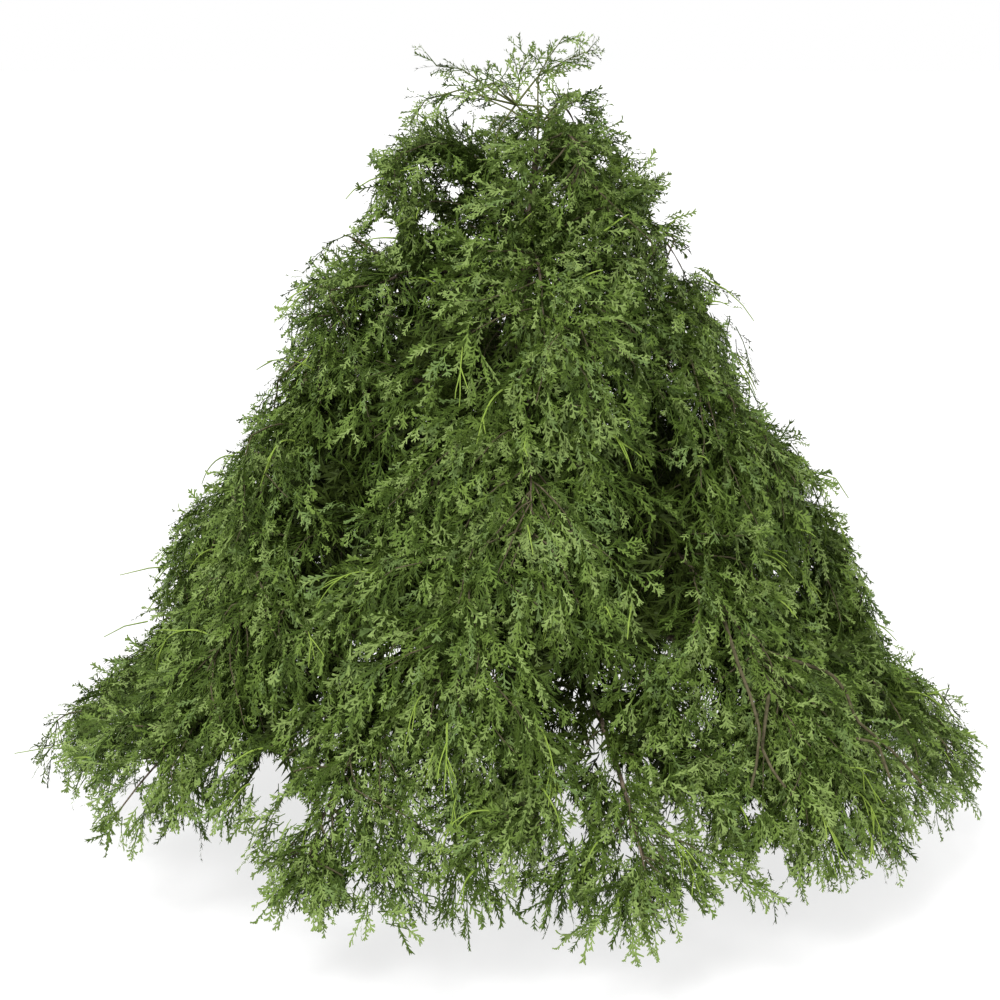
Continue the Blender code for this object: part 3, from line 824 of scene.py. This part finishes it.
def soup_mesh(name, soup):
    mesh = bpy.data.meshes.new(name)
    mesh.vertices.add(len(soup.verts))
    mesh.vertices.foreach_set("co", soup.verts.astype(np.float32).ravel())
    mesh.loops.add(len(soup.faces) * 3)
    mesh.loops.foreach_set("vertex_index", soup.faces.astype(np.int32).ravel())
    mesh.polygons.add(len(soup.faces))
    mesh.polygons.foreach_set("loop_start", np.arange(0, len(soup.faces) * 3, 3, dtype=np.int32))
    mesh.update(calc_edges=True)
    return mesh


def add_pieces(name, soup, material, nodes):
    """Adds a soup as one piece, or as several where it has too many triangles."""
    count = max(1, math.ceil(len(soup.faces) / PIECE_TRIANGLES))
    for i, faces in enumerate(np.array_split(soup.faces, count)):
        title = name if count == 1 else f"{name}_{i + 1}"
        add_piece(soup_mesh(title, compact(soup.verts, faces)), material, nodes)


def feed(tree, socket, value):
    if isinstance(value, Wire):
        tree.links.new(value.socket, socket)
    else:
        socket.default_value = value


def arithmetic(operation, reflected=False):
    """An operator that adds its Math node."""

    def combined(self, other):
        node = self.tree.nodes.new("ShaderNodeMath")
        node.operation = operation
        for socket, value in zip(node.inputs, (other, self) if reflected else (self, other)):
            feed(self.tree, socket, value)
        return Wire(self.tree, node.outputs[0])

    return combined


class Wire:
    """A socket whose arithmetic adds Math nodes."""

    def __init__(self, tree, socket):
        self.tree = tree
        self.socket = socket

    __add__, __radd__ = arithmetic("ADD"), arithmetic("ADD", True)
    __sub__, __rsub__ = arithmetic("SUBTRACT"), arithmetic("SUBTRACT", True)
    __mul__, __rmul__ = arithmetic("MULTIPLY"), arithmetic("MULTIPLY", True)


class Finish:
    """A material that is being built, with one way to add any node."""

    def __init__(self, name):
        self.material = bpy.data.materials.new(name)
        self.material.use_nodes = True
        self.tree = self.material.node_tree
        self.shader = self.tree.nodes["Principled BSDF"]

    def node(self, kind, settings=None, output=0, **sockets):
        made = self.tree.nodes.new(kind)
        for name, value in (settings or {}).items():
            setattr(made, name, value)
        for name, value in sockets.items():
            key = int(name[1:]) if name[0] == "_" else name.replace("_", " ")
            feed(self.tree, made.inputs[key], value)
        return Wire(self.tree, made.outputs[output])

    def set(self, **sockets):
        for name, value in sockets.items():
            feed(self.tree, self.shader.inputs[name.replace("_", " ")], value)

    def place(self):
        return self.node("ShaderNodeTexCoord", output=3)

    def noise(self, scale, detail, vector=None):
        vector = vector or self.place()
        return self.node("ShaderNodeTexNoise", Vector=vector, Scale=scale, Detail=detail, Roughness=0.55)

    def blend(self, factor, first, second):
        settings = {"data_type": "RGBA"}
        return self.node("ShaderNodeMix", settings, output=2, _0=factor, _6=(*first, 1), _7=(*second, 1))

    def between(self, value, low, high):
        """0 below low, 1 above high."""
        return self.node("ShaderNodeMapRange", Value=value, From_Min=low, From_Max=high)


def leaf_finish(name, dark, light):
    """Scale leaves: a green that varies from spray to spray and along each thread."""
    finish = Finish(name)
    patches = finish.noise(9.0, 2.0)
    threads = finish.noise(160.0, 1.0)
    mask = finish.between(patches * 0.6 + threads * 0.4, 0.34, 0.66)
    finish.set(
        Base_Color=finish.blend(mask, dark, light),
        Roughness=threads * 0.25 + (0.62 - 0.125),
        Specular_IOR_Level=0.12,
    )
    return finish.material


def bark_finish(name, dark, light, stretch):
    """Fibrous bark: long strips of grey-brown over red-brown."""
    finish = Finish(name)
    long = finish.node("ShaderNodeMapping", Vector=finish.place(), Scale=stretch)
    strips = finish.noise(70.0, 4.0, long)
    patches = finish.noise(14.0, 3.0)
    mask = finish.between(strips * 0.7 + patches * 0.3, 0.36, 0.66)
    bump = finish.node("ShaderNodeBump", Height=strips, Strength=0.6, Distance=0.004)
    finish.set(
        Base_Color=finish.blend(mask, dark, light),
        Roughness=0.95 - 0.2 * mask,
        Specular_IOR_Level=0.2,
        Normal=bump,
    )
    return finish.material


def ring_at(bm, centre, way, radius, sides):
    """A circle of edges round a line, and the frame it stands in."""
    turn = way.to_track_quat("Z", "Y").to_matrix().to_4x4()
    made = bmesh.ops.create_circle(bm, segments=sides, radius=radius, matrix=Matrix.Translation(centre) @ turn)
    verts = made["verts"]
    return verts, list({edge for vert in verts for edge in vert.link_edges})


def bridged(bm, before, ring):
    """Joins a ring to the one before it, or closes the first one. Returns its edges."""
    verts, edges = ring
    if before:
        bmesh.ops.bridge_loops(bm, edges=before + edges)
    else:
        bmesh.ops.contextual_create(bm, geom=verts)
    return edges


def limb_mesh(bm, points, radii, sides):
    """A bark-covered limb: rings of edges along its line, bridged one to the next."""
    before = None
    for i, (point, radius) in enumerate(zip(points, radii)):
        way = (points[min(i + 1, len(points) - 1)] - points[max(i - 1, 0)]).normalized()
        ring = ring_at(bm, point, way, radius, sides)
        before = bridged(bm, before, ring)
    bmesh.ops.contextual_create(bm, geom=ring[0])


def trunk_mesh():
    """The trunk with its flare and the relief of its fibrous bark."""
    bm = bmesh.new()
    before = None
    for level in range(TRUNK_LEVELS):
        height = TRUNK_TOP * (level / (TRUNK_LEVELS - 1)) ** 1.3
        centre = trunk_centre(height)
        ring = ring_at(bm, centre, UP, 1.0, TRUNK_SIDES)
        for vert in ring[0]:
            spoke = vert.co - centre
            turn = math.atan2(spoke.y, spoke.x)
            radius = trunk_radius(height, turn)
            strips = noise.noise(Vector((math.cos(turn) * 5, math.sin(turn) * 5, height * 3)))
            fine = noise.noise(Vector((math.cos(turn) * 14, math.sin(turn) * 14, height * 9 + 7)))
            vert.co = centre + spoke * radius * (1 + 0.10 * strips + 0.06 * fine)
        before = bridged(bm, before, ring)
    bmesh.ops.contextual_create(bm, geom=ring[0])
    return bm


def roughen(bm, strength):
    """Pushes a limb's skin in and out a little, for knots and bark."""
    bm.normal_update()
    for vert in bm.verts:
        swell = noise.noise(vert.co * 38) + 0.6 * noise.noise(vert.co * 110)
        vert.co += vert.normal * swell * strength


def bark_mesh(bm, name):
    bmesh.ops.recalc_face_normals(bm, faces=bm.faces)
    mesh = bpy.data.meshes.new(name)
    bm.to_mesh(mesh)
    bm.free()
    mesh.shade_smooth()
    return mesh


def slim_radii(limb):
    """A bough's radii, slimmer past its bare part, where its foliage begins."""
    shares = np.arange(len(limb.radii)) / LINE_STEPS
    slimmer = 1 - SLIMMER * ramp(shares, limb.tier.bare, SLIMMER_SPAN)
    most = SHOULDER_RADIUS if limb.tier.name == "shoulder" else 1.0
    return list(np.array(limb.radii) * np.minimum(slimmer, most))


def add_limbs(limbs, bark):
    add_piece(bark_mesh(trunk_mesh(), "trunk_bark"), bark, ["trunk"])
    bm = bmesh.new()
    for limb in limbs:
        limb_mesh(bm, limb.points, slim_radii(limb), BOUGH_SIDES)
    roughen(bm, 0.0016)
    add_piece(bark_mesh(bm, "bough_bark"), bark, [f"bough_{limb.name}" for limb in limbs])


# One tint lighter: for the fresh, partly lit frond tips and for the painted light at the crown's top and foot
def lighter(tint):
    return np.where(tint == DEEP, MID, FRESH_AND_LIT)


def dealt(sites, fronds, rng):
    """The tint of the spray at each site: one for the whole frond, lighter towards its tip (partly fresh growth,
    partly painted light) and at the crown's top and foot (painted light), darker far under the crown's skin and at
    its root (painted shade), and the darkest inner green deeper still (painted shade)."""
    depth = crown_depth(sites.place) + rng.normal(0, 0.02, len(sites.place))
    height = sites.place[:, 2]
    depth = np.where(height > LEADER_FOOT, 0.0, depth)
    # painted light: sprays at the crown's top and foot turn lighter
    painted_light = TOP_PAINTED_LIGHT * ramp(height, *TOP_PAINTED_LIGHT_RAMP) + FOOT_PAINTED_LIGHT * ramp(height, *FOOT_PAINTED_LIGHT_RAMP)
    tint = rng.choice(len(TINT_SHARES), len(fronds.made), p=TINT_SHARES)[sites.line]
    chance = rng.random(len(tint))
    # lighter towards a frond's tip: partly fresh growth, partly painted light
    tint = np.where((sites.share > 0.60) & (chance < 0.45), lighter(tint), tint)
    # painted shade: darker at a frond's root
    tint = np.where((sites.share < 0.40) & (chance < 0.65), DEEP, tint)
    tint = np.where(rng.random(len(tint)) < painted_light, lighter(tint), tint)
    # painted shade: darker far under the crown's skin
    tint = np.where(chance < HEART_PAINTED_SHADE * ramp(depth, *HEART_PAINTED_SHADE_RAMP), DEEP, tint)
    # painted shade: the darkest inner green deeper still, in the crown's heart
    low, high = INNER_HEIGHTS
    return np.where((depth > INNER_DEPTH) & (height > low) & (height < high), PAINTED_SHADE_INNER, tint)


def bare_limb_lines(limbs):
    """The bare limbs, lifted a little out of the foliage after they leave their boughs."""
    boughs = {limb.name: limb.points for limb in limbs}
    lines = []
    for name, index, _, places in BARE_LIMBS:
        places = np.array(places)
        lifted = places + crown_normal(places) * LIMB_LIFT
        lines.append([tuple(boughs[name][index]), *map(tuple, lifted)])
    return lines


def near_limbs(sites, limbs):
    """The places close to the bare limbs, where little grows."""
    knots = np.concatenate([resampled(line[1:], 0.02) for line in bare_limb_lines(limbs)])
    return np.linalg.norm(sites.place[:, None] - knots, axis=2).min(axis=1) < LIMB_GAP


def in_openings(points):
    """The points that would close one of the openings towards the sky."""
    eye = np.array(CAMERA_PLACE)
    offset = points - eye
    closing = np.zeros(len(points), bool)
    for y, places in OPENINGS.items():
        for x, z, radius in places:
            way = unit(np.array((x, y, z)) - eye)
            away = np.linalg.norm(offset - column(offset @ way) * way, axis=1)
            closing |= away < radius
    return closing


def cut_short(growth):
    """The same lines, each ended where it enters an opening."""
    steps, count = growth.points.shape[:2]
    inside = in_openings(growth.points.reshape(-1, 3)).reshape(steps, count)
    first = np.where(inside.any(axis=0), inside.argmax(axis=0), steps)
    return growth._replace(made=np.minimum(growth.made, np.maximum(first - 1, 0)))


def seen_part(sites, rng):
    """Fewer branchlets at the roots of fronds, in the shade and in the open top."""
    depth = crown_depth(sites.place)
    thin = (sites.share < BARE_ROOT) | (depth > SHADE_DEPTH)
    open_top = ramp(sites.place[:, 2], *OPEN_RAMP) * OPEN_TOP
    hidden = (depth > HEART_DEPTH) & (rng.random(len(thin)) < 0.5)
    return (~thin | (sites.step % 2 == 0)) & (rng.random(len(thin)) > open_top) & ~hidden


def frond_sites(stems, branches, tails, shoots):
    """Where the hanging fronds leave the limbs, more of them where the crown would look thin."""
    sites = together([sites_of(stems), sites_of(branches), sites_of(tails, first=2), sites_of(shoots, first=3)])
    sites = picked(sites, (crown_depth(sites.place) < HEART_DEPTH) | (sites.step % 2 == 0))
    outer = crown_depth(sites.place) < HEART_DEPTH
    doubled = within(sites.place, *FRONT_FRINGE) | within(sites.place, *RIGHT_FLANK)
    middle = within(sites.place, *FRONT_MIDDLE)
    return together([sites, *(picked(sites, chosen & outer) for chosen in (doubled, middle, middle))])


def crest_sites(stems, branches, backs, top_backs):
    """Where the covering fronds leave the upper sides of the limbs."""
    fronts = sites_of(stems)
    front = within(fronts.place, *FRONT_STEMS)
    high = backs.place[:, 2] > BACK_HEIGHTS[0]
    doubled = [picked(fronts, front), backs, picked(backs, high), top_backs]
    return together([fronts, *doubled, sites_of(branches, first=2)])


def add_limbwork(limbs, grown, leader, all_fronds, nodes, greens, wood):
    """The brown branches, the bare limbs, the leader's twigs and the green stalks of the fronds."""
    limbwork = []
    for growth in grown:
        brown = growth._replace(made=np.maximum(growth.made - GREEN_END, 0))
        limbwork.append(tubes(cut_short(brown), tapering(growth, *BRANCH_TAPER), 4))
    for line, (_, _, radius, _) in zip(bare_limb_lines(limbs), BARE_LIMBS):
        bare = lines_as_growth([line], STEM_STEP, 0)
        limbwork.append(tubes(bare, tapering(bare, radius, 0.0035), 8))
    add_pieces("branches", joined(limbwork), wood, nodes)
    leader_stems = tubes(leader, tapering(leader, *LEADER_TAPER), 5)
    add_pieces("leader_stems", leader_stems, greens["stem"], ["foliage_leader"])
    stalks = [thinned(cut_short(growth), 4) for growth in all_fronds]
    soup = joined([tubes(growth, tapering(growth, *STALK_TAPER), 3) for growth in stalks])
    add_pieces("frond_stalks", soup, greens["deep"], nodes)


def shapes_of(*kinds):
    """So many branchlets of each pattern, from its first seed on."""
    return [branchlet_shape(first + i, pattern) for pattern, first, count in kinds for i in range(count)]


def add_sprays(space, sites, tint, nodes, greens, rng):
    """The branchlets at all sites, each tint as pieces of its own."""
    lit = shapes_of((HANDS, 0, 14), (THREADS, 70, 8))
    shaded = shapes_of((SHADED_HANDS, 0, 12), (SHADED_THREADS, 70, 10))
    coarse = shapes_of((COARSE, 40, 8))
    threads = {"deep": [], "mid": []}
    for number, (name, under) in enumerate((("deep", "deep"), ("mid", "deep"), ("blue", "mid"), ("fresh_and_lit", "mid"))):
        shapes = shaded if number == DEEP else lit
        threads_here, tips = branchlets(space, shapes, picked(sites, tint == number), BRANCHLET, rng)
        threads[under].append(threads_here)
        add_pieces(f"sprays_{name}", tips, greens[name], nodes)
    for name, soups in threads.items():
        add_pieces(f"threads_{name}", joined(soups), greens[name], nodes)
    # The coarse inner sprays in the darkest green: painted shade of the crown's heart
    inner = picked(sites, (tint == PAINTED_SHADE_INNER) & (rng.random(len(tint)) < INNER_SHARE))
    sprays = joined(branchlets(space, coarse, inner, COARSE_BRANCHLET, rng))
    add_pieces("sprays_inner", sprays, greens["inner"], nodes)


def add_foliage(limbs, space, nodes, greens, wood):
    rng = np.random.default_rng(SEED + 2)
    stems = stems_of(limbs)
    branches = grow_branches(space, stems, limbs, rng)
    tails = grow_tails(space, stems, rng)
    shoots = grow_shoots(space, rng)
    bearing = frond_sites(stems, branches, tails, shoots)
    fronds = grow_fronds(space, bearing, golden(bearing, rng), rng, HANGING)
    back_lines = stems_of(limbs, BACK_PART)
    backs = sites_of(back_lines, first=0)
    top_backs = picked(backs, backs.place[:, 2] > BACK_HEIGHTS[1])
    crests = crest_sites(stems, branches, backs, top_backs)
    turns = [rng.uniform(*turns, len(crests.place)) for turns in (TOP_TURNS, BACK_TURNS)]
    turn = np.radians(np.where(crests.place[:, 2] > CROWN_TOP, *turns))
    covering = grow_fronds(space, crests, turn, rng, COVERING)
    high_branches = sites_of(branches, first=2)
    high_branches = picked(high_branches, high_branches.place[:, 2] > TOP_BRANCHES)
    crowning = grow_rising(space, together([top_backs] * 3 + [high_branches]), rng)
    leader = lines_as_growth(LEADER_TWIGS, LEADER_STEP, space.trunk)
    leader_sites = outer_part(sites_of(leader), LEADER_FRONDS)
    leader_sites = picked(leader_sites, leader_sites.step % 2 == 0)
    plumes = grow_fronds(space, leader_sites, golden(leader_sites, rng), rng, LEADING)
    all_fronds = (fronds, covering, crowning, plumes)

    add_limbwork(limbs, (branches, tails, shoots), leader, all_fronds, nodes, greens, wood)
    add_whips(space, fronds, nodes, greens, rng)

    parts = [(sites_of(growth), growth) for growth in all_fronds]
    parts[0] = (picked(parts[0][0], seen_part(parts[0][0], rng)), fronds)
    parts = [(picked(part, ~near_limbs(part, limbs)), growth) for part, growth in parts]
    parts.append((outer_part(sites_of(leader), LEADER_SPRAYS), leader))
    parts += [(top_backs, back_lines)] * 4
    sites = together([part for part, _ in parts])
    tint = np.concatenate([dealt(part, growth, rng) for part, growth in parts])
    add_sprays(space, sites, tint, nodes, greens, rng)


def add_whips(space, fronds, nodes, greens, rng):
    """Long bare lime threads that hang in arcs over the plumes, most of them forked."""
    sites = sites_of(fronds, first=2)
    outer = np.flatnonzero((crown_depth(sites.place) < 0.05) & (sites.share > 0.3))
    sites = picked(sites, rng.choice(outer, WHIPS, replace=False))
    length = rng.uniform(*ARCHING.lengths, WHIPS)
    ways = sites.way * 0.7 + crown_normal(sites.place) + 0.2 * UPWARD + rng.normal(0, 0.35, (WHIPS, 3))
    whips = grow(space, ARCHING, sites, ways, sites.face, length, rng)
    forks = sites_of(whips, first=3, last_too=False)
    forks = picked(forks, (forks.share < 0.8) & (rng.random(len(forks.place)) < 0.34))
    ways = forks.way + forks.side * column(rng.choice((-0.42, 0.42), len(forks.place)))
    length = rng.uniform(*TINES.lengths, len(forks.place))
    tines = grow(space, TINES, forks, ways, forks.face, length, rng)
    strays = lines_as_growth(STRAYS, WHIP_STEP, space.trunk)
    threads = ((whips, 0.0036), (tines, 0.0030), (strays, 0.0028))
    soup = joined([tubes(growth, tapering(growth, root, 0.0014), 3) for growth, root in threads])
    add_pieces("whips", soup, greens["lime"], nodes)


def branchlets(space, shapes, sites, size, rng):
    """A branchlet at each site, on alternate sides, largest past the middle of its frond. Returns
    their threads and their tips."""
    count = len(sites.place)
    height = sites.place[:, 2]
    hand = np.where(sites.share > 0.999, 0.0, np.where(sites.step % 2 == 0, 1.0, -1.0))
    roll = rng.normal(0, 0.55, count)
    aside = sites.side * column(np.cos(roll)) + sites.face * column(np.sin(roll))
    stray = aside * column(hand * rng.uniform(0.35, 1.0, count)) + rng.normal(0, 0.20, (count, 3))
    hang = np.interp(height, HANG_HEIGHTS, HANG)
    way = unit(sites.way + stray + SPREAD * outward(sites.place) - UPWARD * column(hang))
    face = unit(sites.face + rng.normal(0, 0.35, (count, 3)))
    side = unit(np.cross(face, way))
    face = np.cross(way, side)
    scale = size * (0.60 + 0.40 * np.sin(np.pi * (0.15 + 0.75 * sites.share))) * rng.uniform(0.75, 1.2, count)
    scale = np.where(height > LEADER_FOOT, 0.9 * scale, scale)
    kind = rng.integers(0, len(shapes), count)
    fits = space.leaf_fits(sites.place + way * column(1.3 * scale))
    fits &= ~in_openings(sites.place + way * column(0.6 * scale))
    frames = [values[fits] for values in (sites.place, way, side, face, scale)]
    kind = kind[fits]
    chosen = [[values[kind == k] for values in frames] for k in range(len(shapes))]
    return [
        joined([placed(shape[part], *of_kind) for shape, of_kind in zip(shapes, chosen)]) for part in (0, 1)
    ]


def add_stage():
    bpy.ops.mesh.primitive_plane_add(size=60)
    floor = bpy.context.object
    floor.name = "floor"
    finish = Finish("floor_white")
    finish.set(Base_Color=(0.25, 0.25, 0.25, 1), Roughness=0.9)
    finish.set(Emission_Color=(1, 1, 1, 1), Emission_Strength=0.75)
    floor.data.materials.append(finish.material)


def add_light():
    world = bpy.data.worlds.new("soft_white")
    world.use_nodes = True
    background = world.node_tree.nodes["Background"].inputs
    background["Strength"].default_value = 1.0
    background["Color"].default_value = (1, 1, 1, 1)
    bpy.context.scene.world = world
    lamp = bpy.data.lights.new("key", "SUN")
    lamp.energy = 3.2
    lamp.angle = math.radians(18)
    key = bpy.data.objects.new("key", lamp)
    key.rotation_euler = (math.radians(38), math.radians(-22), 0)
    bpy.context.scene.collection.objects.link(key)


def add_camera():
    data = bpy.data.cameras.new("camera")
    data.sensor_width = 36
    data.lens = FOCAL_PIXELS / PICTURE_WIDTH * data.sensor_width
    camera = bpy.data.objects.new("camera", data)
    camera.location = CAMERA_PLACE
    camera.rotation_euler = (math.pi / 2 - CAMERA_TILT, 0, 0)
    bpy.context.scene.collection.objects.link(camera)
    bpy.context.scene.camera = camera


def main():
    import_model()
    cad_box = [list(corner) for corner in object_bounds()]
    bpy.context.scene.view_settings.view_transform = "Standard"
    add_camera()
    add_light()
    add_stage()
    greens = {name: leaf_finish(f"leaf_{name}", *colours) for name, colours in GREENS.items()}
    bark = bark_finish("bark", (0.058, 0.042, 0.026), (0.165, 0.130, 0.092), (1, 1, 0.16))
    twig = bark_finish("twig_bark", (0.044, 0.040, 0.018), (0.105, 0.090, 0.050), (1, 1, 1))
    limbs = plan_limbs()
    nodes = [f"foliage_{limb.name}" for limb in limbs] + ["foliage_leader"]
    add_limbs(limbs, bark)
    add_foliage(limbs, Space(limbs, cad_box), nodes, greens, twig)


main()
